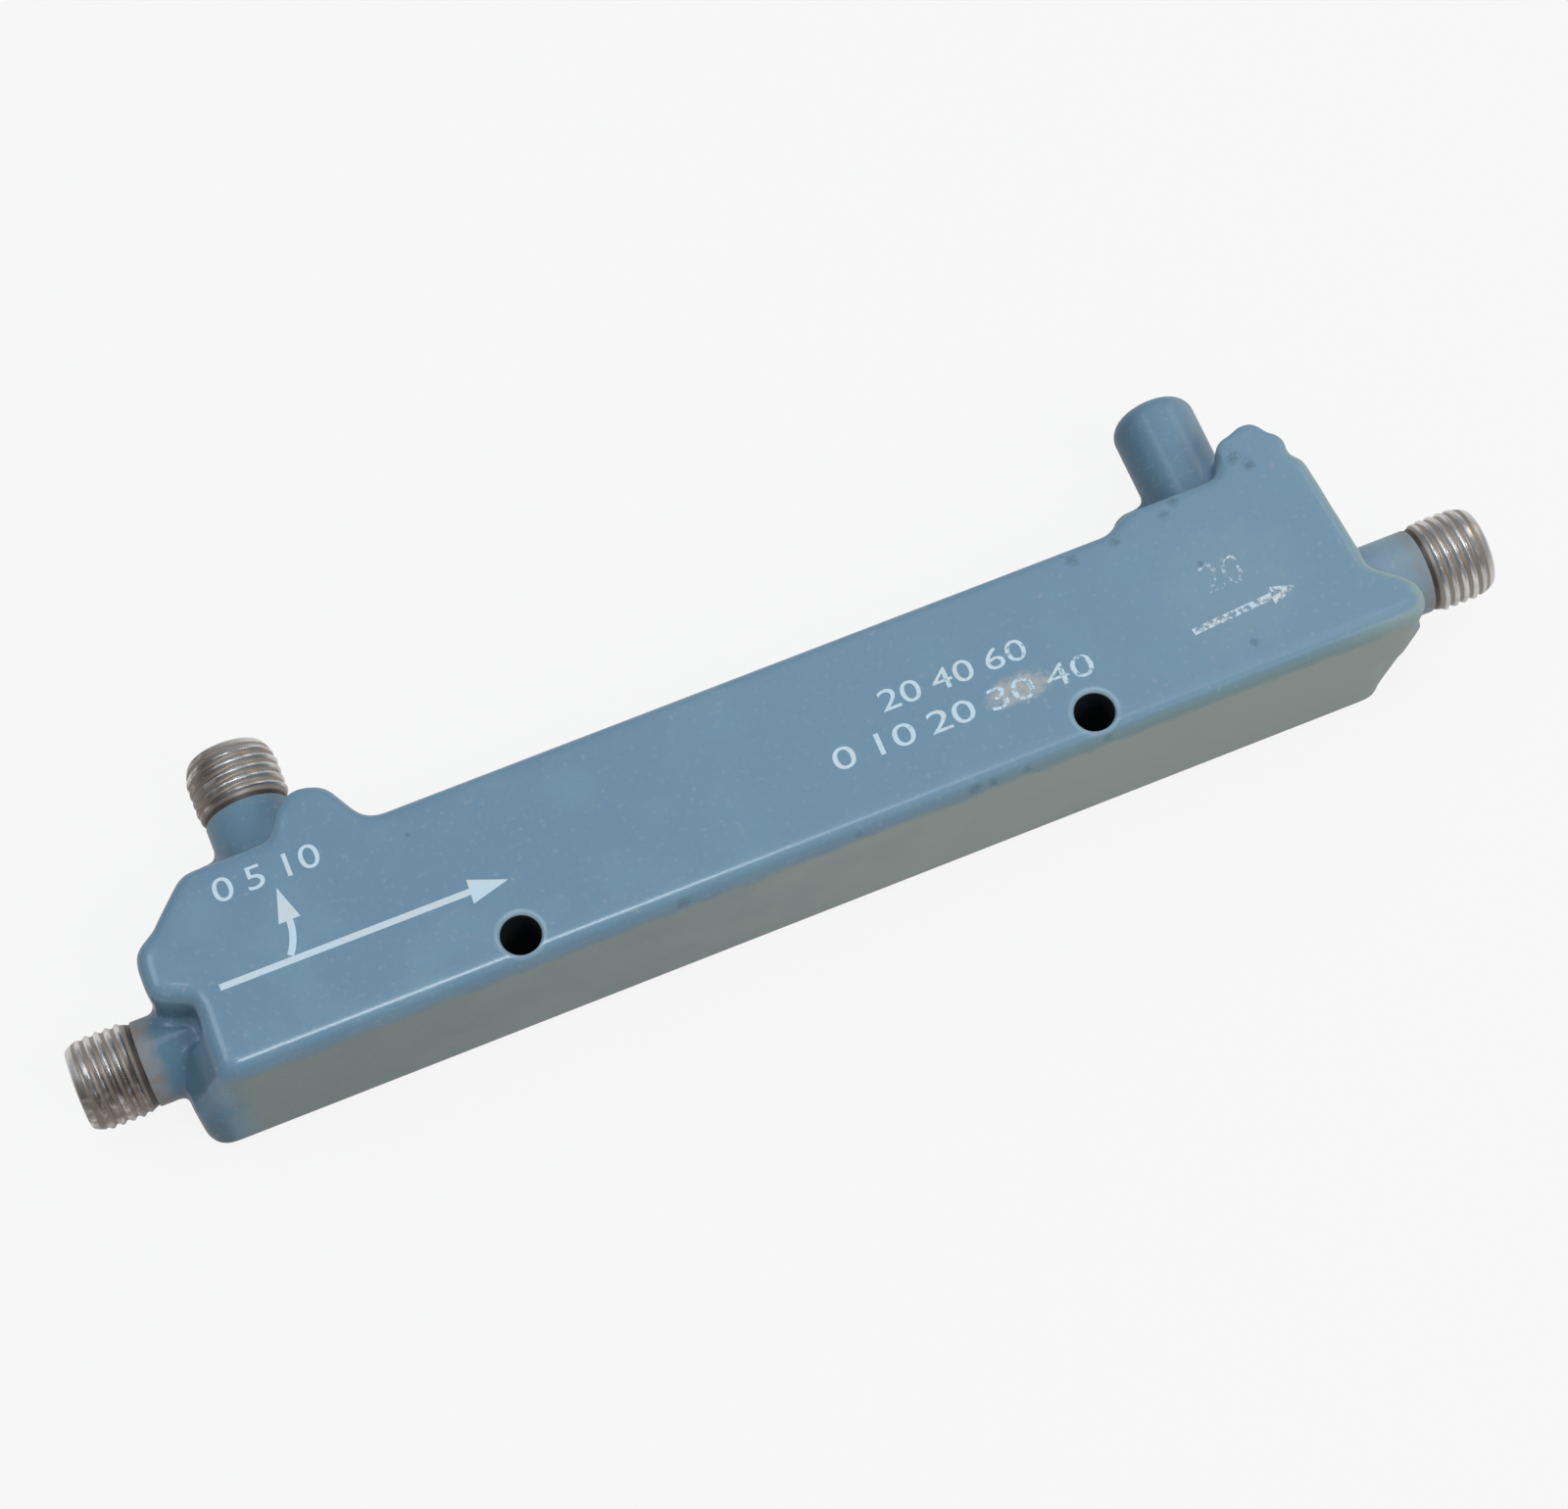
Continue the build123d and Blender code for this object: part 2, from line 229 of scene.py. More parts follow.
# %% Start of a finish
class Finish:
    """A material under construction, with its shader and the point in millimetres."""

    def __init__(self, name, **constants):
        self.material = bpy.data.materials.new(name)
        self.material.use_nodes = True
        tree = self.material.node_tree
        self.shader = tree.nodes["Principled BSDF"]
        for socket, value in constants.items():
            self.shader.inputs[socket.replace("_", " ")].default_value = value
        start = Wire(tree, None)
        place = start.make("ShaderNodeTexCoord", output=3)
        self.start = start
        self.point = start.make(
            "ShaderNodeVectorMath", {"operation": "SCALE"}, {"Vector": place, "Scale": 1 / MM}
        )
        split = "ShaderNodeSeparateXYZ"
        self.x = start.make(split, values={0: self.point}, output=0)
        self.y = start.make(split, values={0: self.point}, output=1)
        self.z = start.make(split, values={0: self.point}, output=2)

    def noise(self, scale, detail=3.0, roughness=0.5, stretch=None):
        """Noise from 0 to 1 whose waves are 1 / scale millimetres, stretched if asked."""
        vector = self.point
        if stretch:
            vector = self.start.make(
                "ShaderNodeVectorMath", {"operation": "MULTIPLY"}, {0: self.point, 1: stretch}
            )
        values = {"Vector": vector, "Scale": scale, "Detail": detail, "Roughness": roughness}
        return self.start.make("ShaderNodeTexNoise", values=values)

    def sway(self, scale, reach, detail=3.0):
        """Noise that moves an edge to and fro, by half the reach at most."""
        return (self.noise(scale, detail=detail) - 0.5) * reach

    def away_from(self, place):
        """Distance in millimetres from a place."""
        return self.start.make(
            "ShaderNodeVectorMath", {"operation": "DISTANCE"}, {0: self.point, 1: place}, output=1
        )

    def feed(self, socket, wire):
        self.material.node_tree.links.new(wire.socket, self.shader.inputs[socket])

    def bump(self, height, strength, distance):
        """Feed a height from 0 to 1 to the shader's normal, as a depth in millimetres."""
        values = {"Height": height, "Strength": strength, "Distance": distance * MM}
        self.feed("Normal", self.start.make("ShaderNodeBump", values=values))


print("finishes start in millimetres")

# %% [markdown]
# The floor is plain pale card. A camera, or a ray mirrored in gloss, sees it
# partly as plain white, and the rest is lit card that keeps the soft shadow.
# The lamps stay at the level at which paint renders as it is written.

# %% Floor card
CARD_WHITENESS = 0.88
GLOSS_SHARE = 0.55
CAMERA_RAY, GLOSSY_RAY, TRANSMISSION_RAY = 0, 3, 6
card = Finish("floor_card", Roughness=0.9)
card.shader.inputs["Base Color"].default_value = (0.4, 0.4, 0.4, 1.0)


def ray_of_kind(output):
    """1 for a ray of one kind, by the place of its output on the Light Path node."""
    return card.start.make("ShaderNodeLightPath", output=output)


mirrored = ray_of_kind(GLOSSY_RAY) * GLOSS_SHARE
seen = ray_of_kind(CAMERA_RAY) + mirrored + ray_of_kind(TRANSMISSION_RAY)
glow = card.start.make("ShaderNodeEmission", values={"Color": (1.0, 1.0, 1.0, 1.0), "Strength": 1.0})
lit = Wire(card.material.node_tree, card.shader.outputs[0])
mixed = card.start.make(
    "ShaderNodeMixShader", values={0: seen.at_most(1.0) * CARD_WHITENESS, 1: lit, 2: glow}
)
output = card.material.node_tree.nodes["Material Output"]
card.material.node_tree.links.new(mixed.socket, output.inputs["Surface"])
floor.data.materials.append(card.material)

# %% [markdown]
# The painted pieces share their sizes, read from the solid model or drawn to fit
# it. Each port gets a frame of its own, because all four necks are alike and only
# turned and moved.

# %% Sizes shared by the painted pieces
housing_low, housing_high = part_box("upper_housing")
seam_z = housing_low[2] / MM
top_z = housing_high[2] / MM
wall_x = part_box("output_shell")[0][0] / MM
wall_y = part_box("coupled_shell")[0][1] / MM
tip_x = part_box("output_shell")[1][0] / MM
jack_length = tip_x - wall_x
stub_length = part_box("termination_shell")[1][1] / MM - wall_y
side_x = (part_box("termination_shell")[0][0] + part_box("termination_shell")[1][0]) / 2 / MM
NECK_RADIUS = 2.95
NECK_END = 7.95
COLLAR_RADIUS = 3.6
COLLAR_LENGTH = 1.2
CORE_RADIUS = 2.05
TOLERANCE = 0.01
print("seam", seam_z, "top", top_z, "wall", wall_x, wall_y, "jack", jack_length, "side", side_x)


def port_place(x, y, turn):
    """The frame of a port: its X axis points outwards from the cavity wall."""
    return Matrix.Translation(Vector((x, y, seam_z)) * MM) @ Matrix.Rotation(turn, 4, "Z")


input_port = port_place(-wall_x, 0, math.pi)
output_port = port_place(wall_x, 0, 0)
coupled_port = port_place(-side_x, wall_y, math.pi / 2)
load_port = port_place(side_x, wall_y, math.pi / 2)
all_ports = [input_port, output_port, coupled_port, load_port]

# %% [markdown]
# Round parts are turned on a lathe, so they are made as on a lathe: the outline
# of one side, as lengths along the axis and radii, is spun once round the axis.

# %% Lathe
ROUND_STEPS = 96
MERGE_DISTANCE = 1e-7


def put_in_scene(name, bm):
    """Make an object of a finished bmesh, with its place in its mesh."""
    mesh = bpy.data.meshes.new(name)
    bm.to_mesh(mesh)
    bm.free()
    piece = bpy.data.objects.new(name, mesh)
    scene.collection.objects.link(piece)
    return piece


def spin_round(bm, ring_start):
    """Spin what has been drawn once round the X axis and close it."""
    bmesh.ops.spin(
        bm,
        geom=ring_start,
        cent=(0, 0, 0),
        axis=(1, 0, 0),
        angle=2 * math.pi,
        steps=ROUND_STEPS,
        use_merge=True,
    )
    bmesh.ops.remove_doubles(bm, verts=bm.verts, dist=MERGE_DISTANCE)
    bmesh.ops.recalc_face_normals(bm, faces=bm.faces)


def turned(outline, closed):
    """A bmesh turned from (length, radius) points, in millimetres along the X axis."""
    bm = bmesh.new()
    fresh = [bm.verts.new((u * MM, r * MM, 0)) for u, r in outline]
    edges = [bm.edges.new(pair) for pair in zip(fresh, fresh[1:])]
    if closed:
        edges.append(bm.edges.new((fresh[-1], fresh[0])))
    spin_round(bm, fresh + edges)
    return bm


def turned_bar(name, outline, port):
    """A solid of revolution at a port, whose outline starts and ends on the axis."""
    bm = turned(outline, closed=False)
    bm.transform(port)
    return put_in_scene(name, bm)


def quarter_round(radius, steps):
    """How far each point of a rounded corner lies back from the end and in from the side."""
    turns = [math.radians(90 * step / steps) for step in range(steps + 1)]
    return [(radius * (1 - math.sin(turn)), radius * (1 - math.cos(turn))) for turn in turns]


def shade(piece, sharp_angle):
    """Smooth shading, but for edges that turn by more than an angle in degrees."""
    piece.data.shade_smooth()
    piece.data.set_sharp_from_angle(angle=math.radians(sharp_angle))


print("lathe ready, with", ROUND_STEPS, "steps round")

# %% [markdown]
# Thick sprayed enamel hides every machined edge. A bevel could round the edges
# one by one, but enamel also fills the inner corners round the necks. So the
# two halves and plugs in the ports are joined, wrapped in one even skin, and
# that skin is relaxed like soft clay: outer edges round off and corners fill.

# %% Skin of enamel over both halves
SKIN_VOXEL = 0.22
RELAX_PASSES = 16
RELAX_SHARE = 0.5
SKIN_FLATTEN = 0.998
SKIN_SHARP_ANGLE = 50
HALVES_MERGE = 1e-6
SCREW_SPOTS = [(-25.0, -3.2), (25.0, -3.2), (-38.9, 6.3), (38.9, 6.3)]
MOUNT_SPOTS = [(-20.2, -3.4), (20.2, -3.4)]
MOUNT_RADIUS = 1.32
# Plugs that close the holes stand a little wider than the holes: top and radius.
SCREW_PLUGS = [(11.0, 0.95), (1.0, 1.65)]
MOUNT_PLUG_RADIUS = MOUNT_RADIUS + 0.05
PORT_PLUG_START = -1.0
PLUG_STEPS = 48
# The lobes at the right neck stand out past the pad, on each side of the axis.
PAD_REACH = 3.4
LOBE_START = 0.1
LOBE_SIDE = 0.3
HIDDEN_LOBE_SHARE = 0.3
LOBE_FOOT_SHARE = 0.6
FILLER_DEPTH = 2.0
# Outer faces of paint fillers: the upper and the lower (x, z) point, and y from and to.
RIGHT_FOOT = ((43.7, 9.5), (40.9, 0.6), -5.2, -1.2)
LEFT_LEDGE = ((-41.35, 12.3), (-43.75, 8.0), -5.1, -1.4)
LEFT_LEDGE_BOX = (-43.8, -41.0, -5.1, -1.4, 2.5, 8.1)
# Round plugs that widen the two side lobes at the neck: x, y and radius.
LOBE_PLUGS = [
    (37.9, 10.95, 1.3),
    (36.6, 10.6, 1.25),
    (38.9, 9.9, 1.2),
    (-30.3, 10.7, 1.3),
    (-31.3, 10.1, 1.1),
]


def settle(piece):
    """Turn a piece's live modifiers into its own mesh."""
    graph = bpy.context.evaluated_depsgraph_get()
    mesh = bpy.data.meshes.new_from_object(piece.evaluated_get(graph))
    piece.modifiers.clear()
    piece.data = mesh


def upright_plug(bm, x, y, low, high, radius):
    """A round plug that stands on its end, in millimetres."""
    place = Matrix.Translation(Vector((x, y, (low + high) / 2)) * MM)
    bmesh.ops.create_cone(
        bm,
        cap_ends=True,
        segments=PLUG_STEPS,
        radius1=radius * MM,
        radius2=radius * MM,
        depth=(high - low) * MM,
        matrix=place,
    )


def port_plug(bm, port, start, end, radius):
    """A round plug that lies along a port's axis, in millimetres."""
    along = Matrix.Translation(((start + end) / 2 * MM, 0, 0)) @ Matrix.Rotation(math.pi / 2, 4, "Y")
    bmesh.ops.create_cone(
        bm,
        cap_ends=True,
        segments=ROUND_STEPS,
        radius1=radius * MM,
        radius2=radius * MM,
        depth=(end - start) * MM,
        matrix=port @ along,
    )


def slope(bm, high_end, low_end, y_low, y_high):
    """A slab of filler whose outer face runs between two (x, z) points, in millimetres."""
    way = Vector((low_end[0] - high_end[0], 0, low_end[1] - high_end[1]))
    turn = Matrix.Rotation(math.atan2(way.x, way.z), 4, "Y")
    across = turn @ Vector((1, 0, 0))
    inward = -across if across.x * high_end[0] > 0 else across
    centre = Vector((high_end[0], (y_low + y_high) / 2, high_end[1])) + way / 2
    centre += inward * FILLER_DEPTH / 2
    size = Matrix.Diagonal((FILLER_DEPTH * MM, (y_high - y_low) * MM, way.length * MM, 1))
    bmesh.ops.create_cube(bm, matrix=Matrix.Translation(centre * MM) @ turn @ size)


def box_into(bm, x0, x1, y0, y1, z0, z1):
    """A box between two corners, in millimetres."""
    middle_point = Vector(((x0 + x1) / 2, (y0 + y1) / 2, (z0 + z1) / 2)) * MM
    size = Vector((x1 - x0, y1 - y0, z1 - z0)) * MM
    bmesh.ops.create_cube(bm, matrix=Matrix.Translation(middle_point) @ Matrix.Diagonal((*size, 1)))


bm = bmesh.new()
bm.from_mesh(nodes["upper_housing"].data)
bm.from_mesh(nodes["lower_housing"].data)
bmesh.ops.remove_doubles(bm, verts=bm.verts, dist=HALVES_MERGE)
# The photograph shows no lower lobe behind the right neck, so it is drawn in.
pad_x = wall_x + PAD_REACH
right_lobes = [vertex for vertex in bm.verts if vertex.co.x > (pad_x + LOBE_START) * MM]
hidden_lobe = [
    vertex
    for vertex in right_lobes
    if vertex.co.y > LOBE_SIDE * MM and vertex.co.z < (seam_z + TOLERANCE) * MM
]
to_pad = Matrix.Translation((-pad_x * MM, 0, 0))
bmesh.ops.scale(bm, vec=(HIDDEN_LOBE_SHARE, 1, 1), space=to_pad, verts=hidden_lobe)
print("lobe vertices drawn in", len(hidden_lobe))
# The foot of the lobe in front of the right neck slopes back to the pad below it.
lobe_foot = [
    vertex
    for vertex in right_lobes
    if vertex.co.y < -LOBE_SIDE * MM and abs(vertex.co.z - seam_z * MM) < TOLERANCE * MM
]
bmesh.ops.scale(bm, vec=(LOBE_FOOT_SHARE, 1, 1), space=to_pad, verts=lobe_foot)
slope(bm, *RIGHT_FOOT)
# Paint fills the ledge under the left neck, up to the rim of the pad.
slope(bm, *LEFT_LEDGE)
box_into(bm, *LEFT_LEDGE_BOX)
for x, y, radius in LOBE_PLUGS:
    upright_plug(bm, x, y, seam_z, top_z, radius)
for port in all_ports:
    port_plug(bm, port, PORT_PLUG_START, NECK_END, NECK_RADIUS)
for x, y in SCREW_SPOTS:
    for plug_top, radius in SCREW_PLUGS:
        upright_plug(bm, x, y, 0.0, plug_top, radius)
for x, y in MOUNT_SPOTS:
    upright_plug(bm, x, y, 0.0, top_z, MOUNT_PLUG_RADIUS)
skin = put_in_scene("skin", bm)
wrap = skin.modifiers.new("even_skin", "REMESH")
wrap.mode = "VOXEL"
wrap.voxel_size = SKIN_VOXEL * MM
settle(skin)
bm = bmesh.new()
bm.from_mesh(skin.data)
for _ in range(RELAX_PASSES):
    bmesh.ops.smooth_vert(
        bm, verts=bm.verts, factor=RELAX_SHARE, use_axis_x=True, use_axis_y=True, use_axis_z=True
    )
to_seam = Matrix.Translation((0, 0, -seam_z * MM))
bmesh.ops.scale(bm, vec=(1, 1, SKIN_FLATTEN), space=to_seam, verts=bm.verts)
bm.to_mesh(skin.data)
bm.free()
print("skin has", len(skin.data.polygons), "faces")

# %% [markdown]
# The relaxed skin is one closed lump. The bores, the cavity, the countersinks
# and the seam are cut out of it again with Boolean modifiers, so that each half
# is a real half with its own parting face, and the jacks sit in true bores.

# %% Cut the skin into two halves
CAVITY_BOXES = [
    (-27.1, 27.1, -1.0, 4.6),
    (-38.0, -27.0, -2.0, 4.6),
    (27.0, 38.0, -2.0, 4.6),
    (-36.8, -31.0, -1.9, 6.1),
    (31.0, 36.8, -1.9, 6.1),
]
CAVITY_HALF = 1.72
SHANK_RADIUS = 0.9
SHANK_TOP = 10.7
SINK_RADIUS = 1.55
HOLE_ROUNDING = 0.42
HOLE_RIM_STEPS = 6
OVERCUT = 0.5
BORE_END = 20.0
# The box that keeps one half reaches past the skin on every outer side.
KEEP_SIDES = (-60, 60, -20, 40)
KEEP_SPARE = 5


def cutter(name, build):
    """An object that only serves to cut, made by a function that fills a bmesh."""
    bm = bmesh.new()
    build(bm)
    bmesh.ops.recalc_face_normals(bm, faces=bm.faces)
    return put_in_scene(name, bm)


def port_bore(port):
    """The bore that holds a neck, with a wider seat for the collar behind it."""
    outline = [
        (-OVERCUT, 0),
        (-OVERCUT, COLLAR_RADIUS),
        (COLLAR_LENGTH, COLLAR_RADIUS),
        (COLLAR_LENGTH, NECK_RADIUS),
        (BORE_END, NECK_RADIUS),
        (BORE_END, 0),
    ]
    return turned_bar("port_cutter", outline, port)


def upright_place(x, y):
    """A frame whose X axis points straight up from the underside."""
    return Matrix.Translation(Vector((x, y, 0)) * MM) @ Matrix.Rotation(-math.pi / 2, 4, "Y")


def screw_hole(x, y):
    """A countersunk clearance hole from below."""
    sink_depth = SINK_RADIUS - SHANK_RADIUS
    outline = [
        (-OVERCUT, 0),
        (-OVERCUT, SINK_RADIUS),
        (0, SINK_RADIUS),
        (sink_depth, SHANK_RADIUS),
        (SHANK_TOP, SHANK_RADIUS),
        (SHANK_TOP, 0),
    ]
    return turned_bar("screw_cutter", outline, upright_place(x, y))


def mount_hole(x, y):
    """A hole right through, whose rims are rounded by the enamel."""
    wide = MOUNT_RADIUS + HOLE_ROUNDING
    flare = [(back, MOUNT_RADIUS + out) for back, out in quarter_round(HOLE_ROUNDING, HOLE_RIM_STEPS)]
    lower_rim = flare[::-1]
    upper_rim = [(top_z - depth, radius) for depth, radius in flare]
    below = [(-OVERCUT, 0), (-OVERCUT, wide)]
    above = [(top_z + OVERCUT, wide), (top_z + OVERCUT, 0)]
    outline = below + lower_rim + upper_rim + above
    return turned_bar("mount_cutter", outline, upright_place(x, y))


cutters = [port_bore(port) for port in all_ports]
cutters += [screw_hole(x, y) for x, y in SCREW_SPOTS]
cutters += [mount_hole(x, y) for x, y in MOUNT_SPOTS]
cavity_floor, cavity_roof = seam_z - CAVITY_HALF, seam_z + CAVITY_HALF
for sides in CAVITY_BOXES:
    cutters.append(cutter("cavity_cutter", lambda bm: box_into(bm, *sides, cavity_floor, cavity_roof)))


def half_of_skin(name, keep_low, keep_high):
    """The part of the skin between two heights, with the bores and cavity cut out."""
    half = bpy.data.objects.new(name, skin.data.copy())
    scene.collection.objects.link(half)
    keep = cutter("keep", lambda bm: box_into(bm, *KEEP_SIDES, keep_low, keep_high))
    trim = half.modifiers.new("keep", "BOOLEAN")
    trim.operation = "INTERSECT"
    trim.solver = "MANIFOLD"
    trim.object = keep
    for tool in cutters:
        cut = half.modifiers.new("cut", "BOOLEAN")
        cut.operation = "DIFFERENCE"
        cut.solver = "MANIFOLD"
        cut.object = tool
    settle(half)
    bpy.data.objects.remove(keep)
    print(name, len(half.data.polygons), "faces")
    return half


upper = half_of_skin("painted_upper_half", seam_z, top_z + KEEP_SPARE)
lower = half_of_skin("painted_lower_half", -KEEP_SPARE, seam_z)
for tool in cutters:
    bpy.data.objects.remove(tool)
bpy.data.objects.remove(skin)
for piece, node in ((upper, "upper_housing"), (lower, "lower_housing")):
    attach(piece, "root")
    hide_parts(node)
    shade(piece, SKIN_SHARP_ANGLE)

# %% [markdown]
# The jacks are turned steel with a 1/4-36 thread. A thread is a ridge that climbs
# round the bar, so a turned body with many rings is the easy start: each vertex
# of the threaded stretch then moves in or out, by where it stands along the
# pitch and how far round it is. The last stretch is plain, as on a real jack.

# %% Threaded jack bodies
PITCH = 25.4 / 36
RINGS_PER_PITCH = 14
THREAD_START = 8.4
CREST_RADIUS = 3.175
ROOT_RADIUS = 2.99
PILOT_RADIUS = 3.03
PILOT_LENGTH = 0.42
TIP_RADIUS = 2.55
GROOVE_RADIUS = 2.8
MOUTH_RADIUS = 2.3
MOUTH_DEPTH = 1.9
MOUTH_BREAK = 0.12
METAL_SHARP_ANGLE = 40
# The paint ends in a small rounded lip: its start and end before the neck's, and its drop.
LIP_START, LIP_END, LIP_DROP = 0.15, 0.03, 0.05
# The profile of the thread, in shares of half a pitch from the middle of the crest.
CREST_FLAT = 0.16
FLANK_SPREAD = 0.6
# The ridge grows and dies away over these lengths, and the tip is rounded by a root.
RUN_IN_LENGTH = 0.25
RUN_OUT_LENGTH = 0.3
TIP_BULGE = 0.55


def limit(value):
    """A value kept between 0 and 1."""
    return max(0.0, min(1.0, value))


def thread_radius(along, turn):
    """Radius of a right-handed thread at a length and a share of a turn, in millimetres."""
    phase = (along / PITCH - turn) % 1.0
    from_crest = 2 * min(phase, 1.0 - phase)
    flank = limit((from_crest - CREST_FLAT) / FLANK_SPREAD)
    ridge = (CREST_RADIUS - ROOT_RADIUS) * (1.0 - flank)
    run_in = limit((along - THREAD_START) / RUN_IN_LENGTH)
    run_out = limit((jack_length - PILOT_LENGTH - along) / RUN_OUT_LENGTH)
    base = ROOT_RADIUS + (PILOT_RADIUS - ROOT_RADIUS) * (1.0 - run_out)
    tip_limit = TIP_RADIUS + math.sqrt(max(0.0, jack_length - along)) * TIP_BULGE
    return min(base + ridge * min(run_in, run_out), tip_limit)


def jack_body(name, port):
    """A jack shell with a rounded paint edge, a groove, a thread and an open mouth."""
    neck = [
        (0, CORE_RADIUS),
        (0, COLLAR_RADIUS),
        (COLLAR_LENGTH, COLLAR_RADIUS),
        (COLLAR_LENGTH, NECK_RADIUS),
        (NECK_END - LIP_START, NECK_RADIUS),
        (NECK_END - LIP_END, NECK_RADIUS - LIP_DROP),
        (NECK_END, GROOVE_RADIUS),
    ]
    rings = round((jack_length - THREAD_START) / PITCH * RINGS_PER_PITCH)
    step = (jack_length - THREAD_START) / rings
    thread = [(THREAD_START + step * ring, CREST_RADIUS) for ring in range(rings + 1)]
    mouth = [
        (jack_length, MOUTH_RADIUS + MOUTH_BREAK),
        (jack_length - MOUTH_BREAK, MOUTH_RADIUS),
        (jack_length - MOUTH_DEPTH, MOUTH_RADIUS),
        (jack_length - MOUTH_DEPTH, CORE_RADIUS),
    ]
    bm = turned(neck + thread + mouth, closed=True)
    for vertex in bm.verts:
        along = vertex.co.x / MM
        radius = math.hypot(vertex.co.y, vertex.co.z) / MM
        if radius > CREST_RADIUS - TOLERANCE and along > THREAD_START - TOLERANCE:
            turn = math.atan2(vertex.co.z, vertex.co.y) / (2 * math.pi)
            share = thread_radius(along, turn) / radius
            vertex.co.y *= share
            vertex.co.z *= share
    bm.transform(port)
    piece = put_in_scene(name, bm)
    shade(piece, METAL_SHARP_ANGLE)
    print(name, len(piece.data.polygons), "faces")
    return piece


jacks = []
for name, port in (("input", input_port), ("output", output_port), ("coupled", coupled_port)):
    jack = jack_body(name + "_jack", port)
    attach(jack, "root")
    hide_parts(name + "_shell")
    jacks.append(jack)

# %% [markdown]
# The fourth port ends in a closed stub, painted with the housing. Its end is
# rounded by the paint, so its outline ends in a quarter circle.

# %% Closed stub
STUB_ROUNDING = 1.3
STUB_ROUND_STEPS = 9
BEAD_END = 3.0
LOAD_BORE = 1.5
LOAD_END = 10.5
stub_outline = [
    (LOAD_END, 0),
    (LOAD_END, LOAD_BORE),
    (BEAD_END, LOAD_BORE),
    (BEAD_END, CORE_RADIUS),
    (0, CORE_RADIUS),
    (0, COLLAR_RADIUS),
    (COLLAR_LENGTH, COLLAR_RADIUS),
    (COLLAR_LENGTH, NECK_RADIUS),
]
for back, inward in quarter_round(STUB_ROUNDING, STUB_ROUND_STEPS):
    stub_outline.append((stub_length - back, NECK_RADIUS - inward))
stub_outline.append((stub_length, 0))
stub = turned_bar("painted_stub", stub_outline, load_port)
shade(stub, METAL_SHARP_ANGLE)
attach(stub, "root")
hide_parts("termination_shell")
print("stub", len(stub.data.polygons), "faces")

# %% [markdown]
# The marks on top are pale screen print. The three arrows show the way the signal
# goes and are plain shapes. The words are left out, and plain numbers as on a
# dial stand in their places. All marks are thin solids, a hair above the paint.

# %% Printed marks
PRINT_LOW = top_z - 0.03
PRINT_THICK = 0.022
LINE_WIDTH = 0.46
BEND_STEPS = 10


def flat_place(x, y, turn):
    """A frame on the printed face, in metres, turned about the upright axis."""
    lifted = Matrix.Translation(Vector((x, y, PRINT_LOW + PRINT_THICK / 2)) * MM)
    return lifted @ Matrix.Rotation(turn, 4, "Z")


def flat_line(bm, start, end, width):
    """A flat straight bar between two points, in millimetres."""
    way = Vector(end) - Vector(start)
    middle_x, middle_y = (Vector(end) + Vector(start)) / 2
    size = Matrix.Diagonal((way.length * MM, width * MM, PRINT_THICK * MM, 1))
    turn = math.atan2(way.y, way.x)
    bmesh.ops.create_cube(bm, size=1.0, matrix=flat_place(middle_x, middle_y, turn) @ size)


def flat_head(bm, base, tip, width):
    """A flat arrow head from the middle of its base to its tip, in millimetres."""
    way = Vector(tip) - Vector(base)
    turn = math.atan2(way.y, way.x)
    # A cone of three sides has its corner one radius out and its base half a radius back.
    shape = Matrix.Diagonal((way.length / 1.5 * MM, width / math.sqrt(3) * MM, PRINT_THICK * MM, 1))
    centre = Vector(base) + way / 3
    upright = Matrix.Rotation(-math.pi / 2, 4, "Z")
    bmesh.ops.create_cone(
        bm,
        cap_ends=True,
        segments=3,
        radius1=1.0,
        radius2=1.0,
        depth=1.0,
        matrix=flat_place(centre.x, centre.y, turn) @ shape @ upright,
    )


def flat_bend(bm, centre, radius, start, sweep, width):
    """A flat bar bent round a centre, its angles in degrees."""
    frame_here = flat_place(centre[0], centre[1], math.radians(start))
    corners = []
    for out in (-width / 2, width / 2):
        for up in (-PRINT_THICK / 2, PRINT_THICK / 2):
            corners.append(bm.verts.new(frame_here @ (Vector((radius + out, 0, up)) * MM)))
    section = bm.faces.new((corners[0], corners[1], corners[3], corners[2]))
    bmesh.ops.spin(
        bm,
        geom=[section],
        cent=Vector((centre[0], centre[1], 0)) * MM,
        axis=(0, 0, 1),
        angle=math.radians(sweep),
        steps=BEND_STEPS,
    )


def number_row(bm, text, low, high):
    """Plain numbers that fill a box on the printed face, in millimetres."""
    letters = bpy.data.curves.new("numbers", "FONT")
    letters.body = text
    letters.space_word = 0.8
    letters.extrude = 0.5
    holder = bpy.data.objects.new("numbers", letters)
    scene.collection.objects.link(holder)
    mesh = bpy.data.meshes.new_from_object(
        holder.evaluated_get(bpy.context.evaluated_depsgraph_get())
    )
    bpy.data.objects.remove(holder)
    spots = [vertex.co for vertex in mesh.vertices]
    left, right = min(p.x for p in spots), max(p.x for p in spots)
    bottom, top = min(p.y for p in spots), max(p.y for p in spots)
    fit = Matrix.Diagonal(
        (
            (high[0] - low[0]) / (right - left) * MM,
            (high[1] - low[1]) / (top - bottom) * MM,
            PRINT_THICK * MM,
            1,
        )
    )
    corner = Matrix.Translation((-left, -bottom, 0))
    mesh.transform(flat_place(low[0], low[1], 0) @ fit @ corner)
    bm.from_mesh(mesh)
    bpy.data.meshes.remove(mesh)


